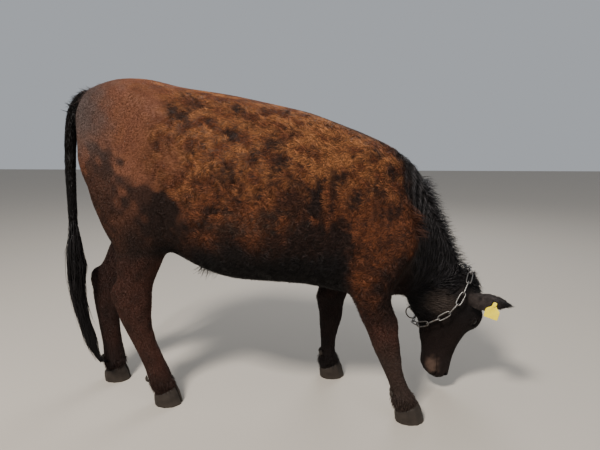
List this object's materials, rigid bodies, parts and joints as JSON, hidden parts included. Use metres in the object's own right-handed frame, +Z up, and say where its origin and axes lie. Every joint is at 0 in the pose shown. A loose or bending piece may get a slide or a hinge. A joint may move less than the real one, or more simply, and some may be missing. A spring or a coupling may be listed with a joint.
{
  "type": "cow",
  "caption": "Young polled dark brown cow in a rough coat, standing with its head lowered to graze; blank ear tag and chain collar.",
  "frame": {"origin": "on the floor under the middle of the bounding box", "axes": "+X towards the head, +Y towards the animal's left side, +Z up; the hooves stand on z = 0"},
  "size_m": [1.6662, 0.68, 1.2235],
  "materials": {
    "coat": "rough sun-bleached brown hair over black",
    "dark_coat": "black brown hair",
    "horn": "dull dark grey horn",
    "eye": "wet dark brown eye",
    "skin": "thinly haired dark skin",
    "steel": "worn zinc-plated steel",
    "tag": "plain yellow plastic"
  },
  "bodies": {
    "root": {"collar_link_01": "steel", "collar_link_02": "steel", "collar_link_03": "steel", "collar_link_04": "steel", "collar_link_05": "steel", "collar_link_06": "steel", "collar_link_07": "steel", "collar_link_08": "steel", "collar_link_09": "steel", "collar_link_10": "steel", "collar_link_11": "steel", "collar_link_12": "steel", "collar_link_13": "steel", "collar_link_14": "steel", "collar_link_15": "steel", "collar_link_16": "steel", "collar_link_17": "steel", "collar_link_18": "steel", "collar_ring": "steel", "ear_left": "dark_coat", "ear_right": "dark_coat", "ear_tag": "tag", "eye_left": "eye", "eye_right": "eye", "fore_claw_left_inner": "horn", "fore_claw_left_outer": "horn", "fore_claw_right_inner": "horn", "fore_claw_right_outer": "horn", "fore_dewclaw_left_inner": "horn", "fore_dewclaw_left_outer": "horn", "fore_dewclaw_right_inner": "horn", "fore_dewclaw_right_outer": "horn", "fore_leg_left_lower": "dark_coat", "fore_leg_left_upper": "coat", "fore_leg_right_lower": "dark_coat", "fore_leg_right_upper": "coat", "head": "dark_coat", "hind_claw_left_inner": "horn", "hind_claw_left_outer": "horn", "hind_claw_right_inner": "horn", "hind_claw_right_outer": "horn", "hind_dewclaw_left_inner": "horn", "hind_dewclaw_left_outer": "horn", "hind_dewclaw_right_inner": "horn", "hind_dewclaw_right_outer": "horn", "hind_leg_left_lower": "dark_coat", "hind_leg_left_upper": "coat", "hind_leg_right_lower": "dark_coat", "hind_leg_right_upper": "coat", "neck": "dark_coat", "tail": "dark_coat", "tail_switch": "dark_coat", "thigh_left": "coat", "thigh_right": "coat", "trunk": "coat", "udder": "skin"}
  },
  "joints": []
}
